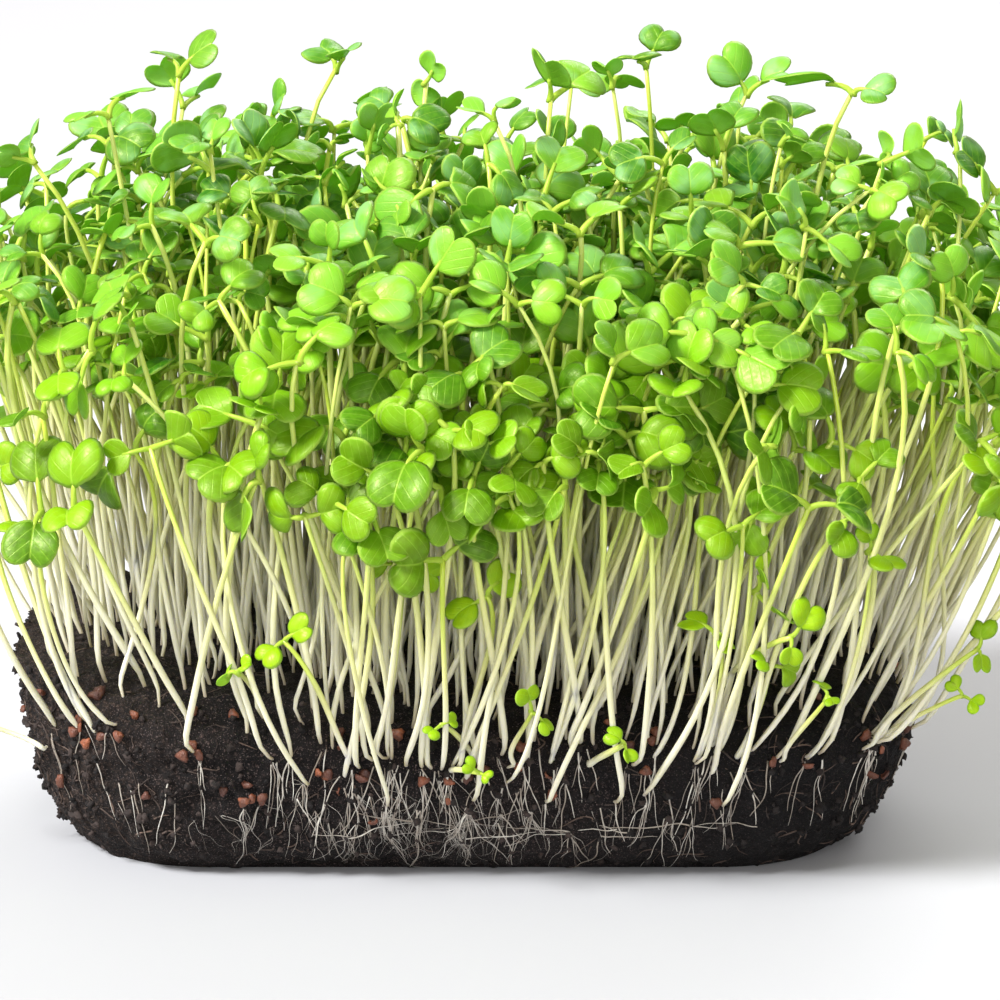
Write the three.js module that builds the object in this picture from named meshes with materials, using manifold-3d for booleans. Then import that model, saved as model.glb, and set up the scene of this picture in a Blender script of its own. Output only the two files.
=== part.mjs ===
// A plug of peat grown full of brassica microgreens, as it stands once its container is off.
// Millimetres, +Z up. The origin is the centre of the plug's flat base, and the front faces -Y.
import * as THREE from "three";
import { ImprovedNoise } from "three/addons/math/ImprovedNoise.js";
import { mergeVertices } from "three/addons/utils/BufferGeometryUtils.js";
import Module from "manifold-3d";

// The plug
const PLUG_WIDTH = 146; // along X, at the shoulder, where it is widest
const PLUG_DEPTH = 94; // along Y, at the shoulder
const PLUG_HEIGHT = 29; // to the top of the soil
const FOOT_INSET = 5; // the foot lies this far inside the shoulder
const FOOT_ROUNDING = 6;
const FOOT_SHARPNESS = 5; // the higher, the closer to the base the rounding stays
const CORNER_RADIUS = 32; // of the plan, at the shoulder
const SHOULDER_DROP = 9;
const END_RISE = 4; // the soil stands higher at its -X end
const END_FULLNESS = 0.8; // and its shoulder there is this much less rounded off
const SHOULDER_WIDTH = 13;
const CRUMB_HEIGHT = 1.3; // how far the crumbly surface wanders up and down
const CRUMB_SIZE = 14;
const CRUMB_RISE = 1.6; // the wander is this many times stronger upwards
const CRUMB_LAYERS = { x: 3.3, y: 7.7, z: 11.1 }; // the layer of noise that moves each axis
const PLUG_SEGMENTS = [18, 12, 5];
const ON_FACE = 0.999; // a point of the cube -1..1 past this lies on its upper face

// The sprouts
const COLUMNS = 7;
const ROWS = 4;
const RIM = 0.88; // the outermost sprouts root this share of the way to the plug's edge
const STAGGER = 0.09; // neighbouring rows are shifted by this share of the half width
const CROWDING = 1.2; // above 1, roots draw together towards the middle of the plug
const PLACE_SCATTER = 0.05; // roots stray from their even places by this share of the half width
const OUTERMOST = 0.94; // no root lies further out than this share of the half width
const STEM_RADIUS = 0.65;
const STEM_SIDES = 5;
const STEM_STEPS = 9;
const STEM_SWAY = 0.03; // sideways, as a share of the stem's height
const STEM_STRAIGHT = 2; // the length of stem that leaves the soil before it bends
const STEM_BENDS = [0.35, 0.7]; // where a stem sways, as shares of its height
const STEM_CURVE = 1.5; // above 1, a stem leans over more the higher it gets
const ROOT_DEPTH = 4; // the length of stem below the soil's surface
const SOCKET_RADIUS = 1.25;
const SOCKET_SIDES = 6;
const SOCKET_CLEARANCE = 1; // below the stem's root end
const SOCKET_REACH = 6; // above the soil's surface, to clear the crumbs round it
const CANOPY_TOP = 117; // the highest growing tips, over the middle of the plug
const CANOPY_EDGE = 86; // the usual growing tips round the rim
const TIP_SCATTER = 7;
const EDGE_LEAN = [0.45, 0.55]; // how far stems at the edge lean out, along X and Y, for a rise of 1
const STRAY_COLUMNS = [2, 5]; // sprouts of the front row that bend over the front, low down
const STRAY_HEIGHT = 44;
const STRAY_REACH = [13, 17]; // how far their tips stand out in front of their roots
const STRAY_SCATTER = 6.5;
const FAN_ALONG = 0.24; // tips stand this share further from the middle than their roots
const FAN_ACROSS = 0.2;
const RIGHT_LEAN = 5; // the whole stand leans a little towards +X
const LEVEL_SCATTER = 4; // of the tips, in plan
const TRIES = 60; // at a place for each sprout that is clear of its neighbours
const SEED = 41;

// A pair of seed leaves
const CROWN_RADIUS = 0.95;
const STALK_RADIUS = 0.5;
const STALK_SIDES = 4;
const STALK_STEPS = 2;
const STALK_REACH = [2.6, 4.2]; // from the crown to the blade
const STALK_RISE = [1.2, 2.6];
const STALK_BEND = 0.4; // the stalk levels off this share of the way along
const STALK_OVERLAP = 0.9; // the length of stalk inside the blade
const LEAF_SIZES = [0.88, 1.12]; // as a share of the lengths below
const LEAF_TILT = 0.35; // radians, up or down
const LEAF_LENGTH = 7.2;
const LEAF_WIDTH = 9.4;
const LEAF_THICKNESS = 0.55;
const LEAF_POINTS = 14; // round the outline
const LEAF_NOTCH = 0.32; // the notch's depth, as a share of the half length
const LEAF_NOTCH_ANGLE = 0.4;
const LEAF_FOLD = 0.22; // the two lobes rise from the midrib
const LEAF_DROOP = 0.45;
const SECOND_LEAF = 0.84; // the inner leaf is this much smaller
const PAIR_UPRIGHT = 0.8; // how strongly a leaf pair turns upright on a leaning stem
const TOUCH_GAP = 0.3; // between pieces that meet

// Shed seed coats
const HULL_LENGTH = 2.1;
const HULL_SEGMENTS = [8, 6];
const HULL_FLATNESS = [1, 0.8, 0.62]; // length, breadth and height
const HULL_DENT = 0.35;
const HULL_DENT_NARROWNESS = 4;
const HULL_SPOTS = [
  [-0.72, -0.86],
  [0.33, -0.93],
  [0.74, -0.8],
];

const wasm = await Module();
wasm.setup();
const noise = new ImprovedNoise();

const materials = {
  soil: new THREE.MeshStandardMaterial({ color: 0x2a211d, roughness: 0.95, metalness: 0 }),
  stem: new THREE.MeshStandardMaterial({ color: 0xe6edc2, roughness: 0.45, metalness: 0 }),
  leaf: new THREE.MeshStandardMaterial({ color: 0x58a32b, roughness: 0.42, metalness: 0 }),
  seed: new THREE.MeshStandardMaterial({ color: 0x8c4a2c, roughness: 0.6, metalness: 0 }),
};

const WELD = 1e-3; // points closer together than this are one

const clamp = THREE.MathUtils.clamp;
const lerp = THREE.MathUtils.lerp;
const random = () => THREE.MathUtils.seededRandom();
const between = (low, high) => lerp(low, high, random());
const spread = (reach) => between(-reach, reach);

// The closed geometry as a solid that can be joined and cut.
function toSolid(geometry) {
  const bare = geometry.index ? geometry.toNonIndexed() : geometry.clone();
  bare.deleteAttribute("normal");
  bare.deleteAttribute("uv");
  const merged = mergeVertices(bare, WELD);
  return new wasm.Manifold(
    new wasm.Mesh({
      numProp: 3,
      vertProperties: merged.attributes.position.array,
      triVerts: new Uint32Array(merged.index.array),
    }),
  );
}

function toGeometry(solid) {
  const { vertProperties, triVerts } = solid.getMesh();
  const geometry = new THREE.BufferGeometry();
  geometry.setAttribute("position", new THREE.BufferAttribute(vertProperties, 3));
  geometry.setIndex(new THREE.BufferAttribute(triVerts, 1));
  geometry.computeVertexNormals();
  return geometry;
}

const joined = (geometries) => geometries.map(toSolid).reduce((whole, part) => whole.add(part));

function movePoints(geometry, move) {
  const points = geometry.attributes.position;
  const point = new THREE.Vector3();
  for (let i = 0; i < points.count; i++) {
    point.fromBufferAttribute(points, i);
    move(point);
    points.setXYZ(i, point.x, point.y, point.z);
  }
  return geometry;
}

// A tube along a curve, with a regular polygon for its section.
function tube(curve, radius, sides, steps) {
  const corners = Array.from({ length: sides }, (_, i) => {
    const angle = (i / sides) * 2 * Math.PI;
    return new THREE.Vector2(radius * Math.cos(angle), radius * Math.sin(angle));
  });
  return new THREE.ExtrudeGeometry(new THREE.Shape(corners), {
    steps,
    extrudePath: curve,
    bevelEnabled: false,
  });
}

// Where a point of the cube -1..1 lies on the plug. w is -1 at the foot and 1 at the crumbly top.
function plugPoint(u, v, w) {
  const rise = (w + 1) / 2;
  const inset = FOOT_INSET * (1 - rise) + FOOT_ROUNDING * (1 - rise) ** FOOT_SHARPNESS;
  const halfWidth = PLUG_WIDTH / 2 - inset;
  const halfDepth = PLUG_DEPTH / 2 - inset;
  const radius = CORNER_RADIUS - inset;
  const crowd = (t) => (t + Math.sin((t * Math.PI) / 2)) / 2; // closer together near the rim
  const x = crowd(u) * halfWidth;
  const y = crowd(v) * halfDepth;
  const overX = Math.max(Math.abs(x) - halfWidth + radius, 0);
  const overY = Math.max(Math.abs(y) - halfDepth + radius, 0);
  const reach = Math.hypot(overX, overY);
  const pull = reach > 0 ? 1 - Math.max(overX, overY) / reach : 0;
  const endShare = Math.max(-u, 0) ** 3;
  const drop = SHOULDER_DROP * (1 - END_FULLNESS * endShare);
  const point = new THREE.Vector3(
    x - Math.sign(x) * overX * pull,
    y - Math.sign(y) * overY * pull,
    rise * (PLUG_HEIGHT + END_RISE * endShare - drop),
  );
  const toRim = Math.min(halfWidth - Math.abs(x), halfDepth - Math.abs(y));
  if (w > ON_FACE) {
    const near = clamp(1 - toRim / SHOULDER_WIDTH, 0, 1);
    point.z += drop * Math.sqrt(1 - near * near);
  }
  const wander = (layer) =>
    CRUMB_HEIGHT * noise.noise(point.x / CRUMB_SIZE, point.y / CRUMB_SIZE, point.z / CRUMB_SIZE + layer);
  if (w > -ON_FACE) {
    point.set(
      point.x + wander(CRUMB_LAYERS.x),
      point.y + wander(CRUMB_LAYERS.y),
      point.z + CRUMB_RISE * wander(CRUMB_LAYERS.z),
    );
  }
  return point;
}

// The way a sprout leaves the soil: straight up in the middle, leaning out over the shoulder.
function rootDirection(u, v) {
  return new THREE.Vector3(EDGE_LEAN[0] * u ** 3, EDGE_LEAN[1] * v ** 3, 1).normalize();
}

function plugSolid(sockets) {
  const plug = movePoints(new THREE.BoxGeometry(2, 2, 2, ...PLUG_SEGMENTS), (point) =>
    point.copy(plugPoint(point.x, point.y, point.z)),
  );
  return sockets.reduce((solid, socket) => solid.subtract(toSolid(socket)), toSolid(plug));
}

// The round hole that a stem stands in.
function socket(surface, direction) {
  const length = ROOT_DEPTH + SOCKET_CLEARANCE + SOCKET_REACH;
  const hole = new THREE.CylinderGeometry(SOCKET_RADIUS, SOCKET_RADIUS, length, SOCKET_SIDES);
  hole.translate(0, length / 2 - ROOT_DEPTH - SOCKET_CLEARANCE, 0);
  hole.applyQuaternion(new THREE.Quaternion().setFromUnitVectors(new THREE.Vector3(0, 1, 0), direction));
  return hole.translate(surface.x, surface.y, surface.z);
}

// A seed leaf's outline: round, a little wider than long, with a notch at its far end.
function leafShape(length, width) {
  const outline = Array.from({ length: LEAF_POINTS }, (_, i) => {
    const angle = (i / LEAF_POINTS) * 2 * Math.PI; // 0 at the notch, pi at the stalk
    const toNotch = Math.min(angle, 2 * Math.PI - angle);
    const reach = 1 - LEAF_NOTCH * Math.exp(-((toNotch / LEAF_NOTCH_ANGLE) ** 2));
    return new THREE.Vector2(
      0.5 * width * reach * Math.sin(angle),
      0.5 * length * (1 + reach * Math.cos(angle)),
    );
  });
  return new THREE.Shape(outline.reverse());
}

// One seed leaf along +X from the crown: a rising stalk and a folded, drooping two-lobed blade.
function seedLeaf(size, stalkReach, stalkRise, tilt) {
  const end = new THREE.Vector3(stalkReach, 0, stalkRise);
  const stalk = tube(
    new THREE.QuadraticBezierCurve3(
      new THREE.Vector3(0, 0, 0),
      new THREE.Vector3(stalkReach * STALK_BEND, 0, stalkRise),
      end.clone().add(new THREE.Vector3(STALK_OVERLAP, 0, 0)),
    ),
    STALK_RADIUS,
    STALK_SIDES,
    STALK_STEPS,
  );
  const length = LEAF_LENGTH * size;
  const blade = new THREE.ExtrudeGeometry(leafShape(length, LEAF_WIDTH * size), {
    depth: LEAF_THICKNESS,
    bevelEnabled: false,
  });
  movePoints(blade, (point) => {
    const droop = (LEAF_DROOP * point.y * point.y) / length;
    point.z += LEAF_FOLD * Math.abs(point.x) - droop - LEAF_THICKNESS / 2;
  });
  blade.rotateZ(-Math.PI / 2).rotateY(-tilt).translate(end.x, end.y, end.z);
  return [stalk, blade];
}

function leafPairGeometry() {
  const size = between(...LEAF_SIZES);
  const leaf = (scale) =>
    seedLeaf(scale, between(...STALK_REACH), between(...STALK_RISE), spread(LEAF_TILT));
  const first = leaf(size);
  const second = leaf(size * SECOND_LEAF);
  second.forEach((geometry) => geometry.rotateZ(Math.PI));
  const crown = new THREE.IcosahedronGeometry(CROWN_RADIUS, 0);
  return toGeometry(joined([crown, ...first, ...second]));
}

// The growing tip of the sprout rooted at (u, v).
function tipOf(surface, u, v, stray) {
  if (stray) {
    return new THREE.Vector3(
      surface.x * (1 + FAN_ALONG / 2) + spread(STRAY_SCATTER),
      surface.y - between(...STRAY_REACH),
      STRAY_HEIGHT + spread(STRAY_SCATTER),
    );
  }
  const rim = Math.max(Math.abs(u), Math.abs(v)) ** 2;
  return new THREE.Vector3(
    surface.x * (1 + FAN_ALONG) + RIGHT_LEAN + spread(LEVEL_SCATTER),
    surface.y * (1 + FAN_ACROSS) + spread(LEVEL_SCATTER),
    lerp(CANOPY_TOP, CANOPY_EDGE, rim) + spread(TIP_SCATTER),
  );
}

// One sprout: a stem that stands in the soil and a leaf pair that sits on its tip.
function growSprout(name, u, v, stray) {
  const surface = plugPoint(u, v, 1);
  const direction = rootDirection(u, v);
  const tip = tipOf(surface, u, v, stray);
  const height = tip.z - surface.z;
  const along = (share, sway) =>
    new THREE.Vector3(
      lerp(surface.x, tip.x, share ** STEM_CURVE) + sway * spread(1),
      lerp(surface.y, tip.y, share ** STEM_CURVE) + sway * spread(1),
      surface.z + height * share,
    );
  const curve = new THREE.CatmullRomCurve3([
    surface.clone().addScaledVector(direction, -ROOT_DEPTH),
    surface.clone().addScaledVector(direction, STEM_STRAIGHT),
    ...STEM_BENDS.map((share) => along(share, STEM_SWAY * height)),
    tip,
  ]);
  const lean = curve.getTangentAt(1);
  const stemEnd = 1 - (CROWN_RADIUS + TOUCH_GAP) / curve.getLength();
  const stemCurve = new THREE.CatmullRomCurve3(
    Array.from({ length: STEM_STEPS + 1 }, (_, i) => curve.getPointAt((i / STEM_STEPS) * stemEnd)),
  );
  const stem = new THREE.Mesh(tube(stemCurve, STEM_RADIUS, STEM_SIDES, STEM_STEPS), materials.stem);
  stem.name = `stem_${name}`;

  const leaves = new THREE.Mesh(leafPairGeometry(), materials.leaf);
  leaves.name = `leaf_pair_${name}`;
  const upright = lean.clone().add(new THREE.Vector3(0, 0, PAIR_UPRIGHT)).normalize();
  leaves.quaternion.setFromUnitVectors(new THREE.Vector3(0, 0, 1), upright);
  leaves.rotateZ(between(0, 2 * Math.PI));
  leaves.position.copy(tip);
  leaves.updateMatrixWorld();
  return { stem, leaves, socket: socket(surface, direction) };
}

const worldSolid = (mesh) => toSolid(mesh.geometry.clone().applyMatrix4(mesh.matrixWorld));

// A shed seed coat, a dented oval that lies on the soil.
function seedHull(name, u, v) {
  const hull = new THREE.Mesh(new THREE.SphereGeometry(HULL_LENGTH / 2, ...HULL_SEGMENTS), materials.seed);
  hull.name = name;
  hull.geometry.scale(...HULL_FLATNESS);
  movePoints(hull.geometry, (point) => {
    const dent = HULL_DENT * Math.exp(-HULL_DENT_NARROWNESS * point.x * point.x);
    point.z -= point.z > 0 ? dent : 0;
  });
  const out = rootDirection(u, v);
  hull.quaternion.setFromUnitVectors(new THREE.Vector3(0, 0, 1), out);
  hull.rotateZ(between(0, Math.PI));
  hull.position.copy(plugPoint(u, v, 1)).addScaledVector(out, HULL_LENGTH / 2 + TOUCH_GAP);
  return hull;
}

// Even places from -1 to 1, drawn together a little in the middle, where the plug's points spread.
function acrossPlug(index, count) {
  const place = (2 * index) / (count - 1) - 1;
  return Math.sign(place) * Math.abs(place) ** CROWDING;
}

const microgreens = new THREE.Group();
THREE.MathUtils.seededRandom(SEED);

const placed = [];
const sockets = [];
for (let row = 0; row < ROWS; row++) {
  for (let column = 0; column < COLUMNS; column++) {
    const shift = row % 2 ? STAGGER : -STAGGER;
    const stray = row === 0 && STRAY_COLUMNS.includes(column);
    const name = String(row * COLUMNS + column + 1).padStart(2, "0");
    for (let attempt = 0; attempt < TRIES; attempt++) {
      const u = RIM * (1 - STAGGER) * acrossPlug(column, COLUMNS) + shift + spread(PLACE_SCATTER);
      const v = RIM * acrossPlug(row, ROWS) + spread(PLACE_SCATTER);
      const sprout = growSprout(name, clamp(u, -OUTERMOST, OUTERMOST), v, stray);
      const solids = [worldSolid(sprout.stem), worldSolid(sprout.leaves)];
      const clear = solids.every((solid) => placed.every((other) => solid.intersect(other).isEmpty()));
      if (!clear) continue;
      placed.push(...solids);
      sockets.push(sprout.socket);
      microgreens.add(sprout.stem, sprout.leaves);
      break;
    }
  }
}

const plug = new THREE.Mesh(toGeometry(plugSolid(sockets)), materials.soil);
plug.name = "soil_block";
microgreens.add(plug);

HULL_SPOTS.forEach(([u, v], i) => microgreens.add(seedHull(`seed_hull_${i + 1}`, u, v)));

export default microgreens;
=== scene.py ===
"""The looks of a plug of peat grown full of brassica microgreens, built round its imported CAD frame."""

import math

import bpy
import numpy as np
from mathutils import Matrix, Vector, noise
from mathutils.bvhtree import BVHTree


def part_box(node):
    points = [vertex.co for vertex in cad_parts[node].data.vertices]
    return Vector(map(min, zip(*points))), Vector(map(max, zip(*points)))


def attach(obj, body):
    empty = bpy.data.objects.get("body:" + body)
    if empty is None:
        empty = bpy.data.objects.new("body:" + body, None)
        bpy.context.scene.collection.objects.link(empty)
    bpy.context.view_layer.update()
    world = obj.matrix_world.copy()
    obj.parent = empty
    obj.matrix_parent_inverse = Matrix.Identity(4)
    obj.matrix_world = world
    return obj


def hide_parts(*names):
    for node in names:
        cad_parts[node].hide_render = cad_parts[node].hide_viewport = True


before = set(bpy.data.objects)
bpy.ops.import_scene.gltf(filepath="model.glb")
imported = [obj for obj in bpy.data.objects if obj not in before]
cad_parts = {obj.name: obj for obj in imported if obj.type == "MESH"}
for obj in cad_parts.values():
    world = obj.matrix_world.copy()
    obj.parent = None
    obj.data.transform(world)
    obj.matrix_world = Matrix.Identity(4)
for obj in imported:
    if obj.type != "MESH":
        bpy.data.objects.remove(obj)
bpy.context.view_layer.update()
MM = 0.001
rng = np.random.default_rng(23)

# The plug, in millimetres. Its size comes from its CAD node.
plug_low, plug_high = (np.array(corner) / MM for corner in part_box("soil_block"))
PLUG_SIZE = plug_high - plug_low
PLUG_TOP = 29.0
ROUGHNESS_ROOM = 0.8  # left free in X and Y for lumps and crumbs
FOOT_INSET = 5.0
FOOT_ROUNDING = 6.0
CORNER_RADIUS = 32.0
SHOULDER_DROP = 9.0
SHOULDER_WIDTH = 13.0
END_RISE = 4.0
END_FULLNESS = 0.8
PLUG_STEPS = (222, 146, 42)
DOWNWARD = -0.95  # a face whose normal has a lower Z is part of the base
RAY_START = 90.0

# The stand of sprouts, in millimetres. A share is one of the way from the middle of the plug to its edge.
ROOT_TRIES = 16000
ROOT_SPACING = 3.0
SPARSE_SPACING = 1.8
LAST_ROOT_SHARE = 0.965
BARE_END = -66.0
BUSY_FRONT = (-24, 38)
SIDE_SPROUTS = 150
TIP_SPACING = 5.4
TIP_LIMITS = ((-93, -63), (96, 63))
SPREAD_ROUNDS = 14
CANOPY_TOP = 110.0
CANOPY_RIM_TOP = 92.0
CANOPY_DEPTH = 36.0
CANOPY_RIM_DEPTH = 31.0
WILD_CHANCE, WILD_LEAN = 0.08, 2.6  # some sprouts lean further than the others
TALL_ROOT_SHARE = 0.86  # of the tall tip's own X and Y

# A stem, in millimetres
STEM_SIDES = 8
STEM_RINGS = 18
STEM_RADIUS = 0.45
STEM_FOOT_BEND = 0.9
STEM_BEND_AT = 0.07  # of the stem's length
STEM_DEPTHS = (2.5, 0.8)  # how far the two lowest rings go into the soil

# Seed leaves, in millimetres
LEAF_RINGS = 5
LEAF_SPOKES = 28
LEAF_WIDTHS = (7.0, 9.2)
LEAF_STRETCHES = (0.95, 1.3)
SECOND_LEAF_SIZES = (0.74, 0.95)
LEAF_THICKNESS = 0.3
LEAF_FOOT = 0.64
LEAF_TRANSLUCENCY = 0.38
STALK_SIDES = 6
STALK_RINGS = 6
STALK_LENGTHS = (1.8, 4.4)
STALK_RADII = (0.56, 0.34)

# What lies on the plug, in millimetres
SEED_COATS = 112
SEED_CLUSTERS = (-33.0, -17.0, -14.0, 26.0, 48.0)
COAT_SIZES = (0.7, 1.15)
COAT_RINGS, COAT_SPOKES = 5, 10
ROOT_HAIRS = 170
ROOT_STEP = 0.85
ROOT_RADII = (0.05, 0.15)
HAIR_THINNESS = 0.3
ROOT_LIFT, FIBRE_LIFT = 0.42, 0.2
FIBRES = 1300
FIBRE_RADII = (0.06, 0.2)
CRUMBS = 9600
CRUMB_PIECES = 3

# The camera, in millimetres and degrees
CAMERA_AIM = (6.0, 0.0, 51.5)
CAMERA_DISTANCE = 700.0
CAMERA_ELEVATION = 13.0
VIEW_WIDTH = 164.0

FULL_TURN = 6.28
DOWN = np.array([0, 0, -1.0])
UP = np.array([0, 0, 1.0])
WHOLE_CELL = (0, 0, 1, 1)


# ---------------- small maths

def unit(vector):
    return vector / max(np.linalg.norm(vector), 1e-9)


def lerp(low, high, share):
    return low + (high - low) * share


def smooth(low, high, value):
    share = np.clip((value - low) / (high - low), 0, 1)
    return share * share * (3 - 2 * share)


def bezier(points, shares):
    """Points of a cubic Bezier curve, one for each share of the way along it."""
    t = shares[:, None]
    a, b, c, d = (np.asarray(p, float) for p in points)
    return a * (1 - t) ** 3 + 3 * b * t * (1 - t) ** 2 + 3 * c * t * t * (1 - t) + d * t**3


def frames_along(path):
    """Two directions square to a path at each of its points, turning as little as they can."""
    tangents = np.gradient(path, axis=0)
    tangents /= np.linalg.norm(tangents, axis=1, keepdims=True) + 1e-12
    side = np.cross(tangents[0], [0.31, 0.9, 0.3])
    sides = []
    for tangent in tangents:
        side = unit(side - tangent * side.dot(tangent))
        sides.append(side)
    sides = np.array(sides)
    return sides, np.cross(tangents, sides)


# ---------------- mesh making

class Shape:
    """Points, faces, a UV place for each face corner, and named numbers for each point."""

    def __init__(self, points, quads, quad_uv, triangles=None, triangle_uv=None, **numbers):
        self.points = np.asarray(points, float)
        self.quads, self.quad_uv = quads, quad_uv
        self.triangles = np.zeros((0, 3), int) if triangles is None else triangles
        self.triangle_uv = np.zeros((0, 3, 2)) if triangle_uv is None else triangle_uv
        self.numbers = {
            name: np.broadcast_to(np.asarray(value, float), len(self.points))
            for name, value in numbers.items()
        }


def build(name, shapes, material):
    """One mesh object from many shapes, with their UV map and their numbers as point attributes."""
    starts = np.cumsum([0] + [len(s.points) for s in shapes])
    points = np.concatenate([s.points for s in shapes]) * MM
    triangles = np.concatenate([s.triangles + at for s, at in zip(shapes, starts)])
    quads = np.concatenate([s.quads + at for s, at in zip(shapes, starts)])
    corners = np.concatenate([triangles.ravel(), quads.ravel()])
    uv = np.concatenate(
        [np.concatenate([s.triangle_uv for s in shapes]).reshape(-1, 2)]
        + [np.concatenate([s.quad_uv for s in shapes]).reshape(-1, 2)]
    )
    mesh = bpy.data.meshes.new(name)
    mesh.vertices.add(len(points))
    mesh.vertices.foreach_set("co", points.astype(np.float32).ravel())
    mesh.loops.add(len(corners))
    mesh.loops.foreach_set("vertex_index", corners.astype(np.int32))
    mesh.polygons.add(len(triangles) + len(quads))
    first_corners = np.concatenate(
        [np.arange(len(triangles)) * 3, len(triangles) * 3 + np.arange(len(quads)) * 4]
    )
    mesh.polygons.foreach_set("loop_start", first_corners.astype(np.int32))
    mesh.update(calc_edges=True)
    mesh.validate()
    mesh.shade_smooth()
    layer = mesh.uv_layers.new(name="OFBake")
    layer.data.foreach_set("uv", np.clip(uv, 0, 1).astype(np.float32).ravel())
    for key in shapes[0].numbers:
        values = np.concatenate([s.numbers[key] for s in shapes])
        attribute = mesh.attributes.new(key, "FLOAT", "POINT")
        attribute.data.foreach_set("value", values.astype(np.float32))
    mesh.materials.append(material)
    piece = bpy.data.objects.new(name, mesh)
    bpy.context.scene.collection.objects.link(piece)
    return piece


def tube(path, radii, sides, cell, **numbers):
    """A closed tube along a path. cell is its UV rectangle: left, bottom, width, height."""
    side, other = frames_along(path)
    turn = np.arange(sides) / sides * 2 * math.pi
    ring = np.cos(turn)[None, :, None] * side[:, None] + np.sin(turn)[None, :, None] * other[:, None]
    rings = len(path)
    points = (path[:, None] + ring * np.asarray(radii).reshape(-1, 1, 1)).reshape(-1, 3)
    points = np.concatenate([points, path[:1], path[-1:]])
    low, high = rings * sides, rings * sides + 1
    i, j = np.meshgrid(np.arange(rings - 1), np.arange(sides), indexing="ij")
    a, b = i * sides + j, i * sides + (j + 1) % sides
    quads = np.stack([a, b, b + sides, a + sides], -1).reshape(-1, 4)
    left, bottom, width, height = cell
    caps_left, width = left + width * 0.92, width * 0.9
    u0, u1 = left + width * j / sides, left + width * (j + 1) / sides
    v0, v1 = bottom + height * i / (rings - 1), bottom + height * (i + 1) / (rings - 1)
    quad_uv = np.stack([u0, v0, u1, v0, u1, v1, u0, v1], -1).reshape(-1, 4, 2)
    j = np.arange(sides)
    bottom_cap = np.stack([(j + 1) % sides, j, np.full(sides, low)], -1)
    last = (rings - 1) * sides
    top_cap = np.stack([last + j, last + (j + 1) % sides, np.full(sides, high)], -1)
    row = bottom + height * np.arange(2 * sides)[:, None] / (2 * sides)
    cap_u = caps_left + width * np.array([[0, 0.08, 0]]) + 0 * row
    cap_v = row + height * np.array([[0, 0, 0.4]]) / sides
    cap_uv = np.stack([cap_u, cap_v], -1)
    stretched = {}
    for key, value in numbers.items():
        value = np.asarray(value, float)
        if value.ndim:
            value = np.concatenate([np.repeat(value, sides), value[:1], value[-1:]])
        stretched[key] = value
    return Shape(points, quads, quad_uv, np.concatenate([bottom_cap, top_cap]), cap_uv, **stretched)


def grid_cells(count):
    """count equal UV cells, row by row: left, bottom, width, height."""
    grid = math.ceil(math.sqrt(count))
    return [(k % grid / grid, k // grid / grid, 0.94 / grid, 0.94 / grid) for k in range(count)]


def faces_in_cell(faces, cell, first, total):
    """A small UV square of its own for each face. The first of them is number first of total in the cell."""
    grid = math.ceil(math.sqrt(total))
    number = first + np.arange(len(faces))
    corner = np.stack([number % grid, number // grid], -1)[:, None] / grid
    shape = np.array([(0, 0), (1, 0), (1, 1), (0, 1)])[: faces.shape[1]] * 0.9 / grid
    return (corner + shape) * cell[2:] + cell[:2]


def shift_uv(shapes):
    """Lays the UV cells of shapes out side by side over the whole map."""
    for shape, cell in zip(shapes, grid_cells(len(shapes))):
        shape.quad_uv = np.asarray(shape.quad_uv) * cell[2:] + cell[:2]
        shape.triangle_uv = np.asarray(shape.triangle_uv) * cell[2:] + cell[:2]
    return shapes


# ---------------- materials

# Colours as linear red, green and blue. A pair is the darkest and the palest tone.
LOW_LEAF = (0.035, 0.19, 0.002), (0.27, 0.6, 0.004)
HIGH_LEAF = (0.016, 0.125, 0.012), (0.19, 0.5, 0.055)
SHADED_LEAF = (0.011, 0.08, 0.001), (0.13, 0.29, 0.001)
LIME_LEAF = (0.42, 0.64, 0.003)
LEAF_MOTTLE = (0.24, 0.53, 0.02)
# A pale sheen painted on patches of the upper leaves
LEAF_PAINTED_SHEEN = (0.32, 0.6, 0.27)
LEAF_VEIN = (0.42, 0.66, 0.06)
LEAF_RIM = (0.55, 0.74, 0.12)
LEAF_UNDERSIDE = (0.28, 0.54, 0.05)
LEAF_STALK = (0.42, 0.6, 0.03), (0.6, 0.72, 0.12)
LIGHT_THROUGH_LEAF = (0.42, 0.85, 0.0)
STEM_WHITE = (0.6, 0.575, 0.45), (0.72, 0.695, 0.58)
STEM_MIDDLE = (0.57, 0.565, 0.25)
STEM_TOP = (0.43, 0.54, 0.05)
STEM_PALE = (0.66, 0.66, 0.4)
STEM_FOOT = (0.33, 0.25, 0.17)
PEAT_DAMP = (0.0022, 0.0017, 0.0019), (0.007, 0.005, 0.0048)
PEAT_CELLS = (0.016, 0.011, 0.0105)
PEAT_FLECKS = (0.1, 0.07, 0.062)
PEAT_GRIT = (0.19, 0.145, 0.135)
# Painted shade over the right end of the plug
PEAT_PAINTED_SHADE = (0.002, 0.0017, 0.002)
PEAT_LEFT_BROWN = (0.07, 0.045, 0.032)
CRUMB_TONES = (0.0035, 0.0027, 0.0028), (0.045, 0.032, 0.028)
CRUMB_FLECKS = (0.08, 0.054, 0.045)
# Painted shade over the crumbs at the right end
CRUMB_PAINTED_SHADE = (0.004, 0.003, 0.003)
FIBRE_TONES = (0.016, 0.01, 0.008), (0.12, 0.078, 0.058)
FIBRE_DARK = (0.035, 0.022, 0.016)
ROOT_TONES = (0.22, 0.185, 0.15), (0.62, 0.59, 0.52)
ROOT_SOILED = (0.2, 0.155, 0.12)
COAT_TONES = (0.045, 0.015, 0.011), (0.27, 0.075, 0.027)
COAT_DARK = (0.09, 0.03, 0.016)
FLOOR_TONES = (0.41, 0.415, 0.435), (0.425, 0.43, 0.45)


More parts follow.
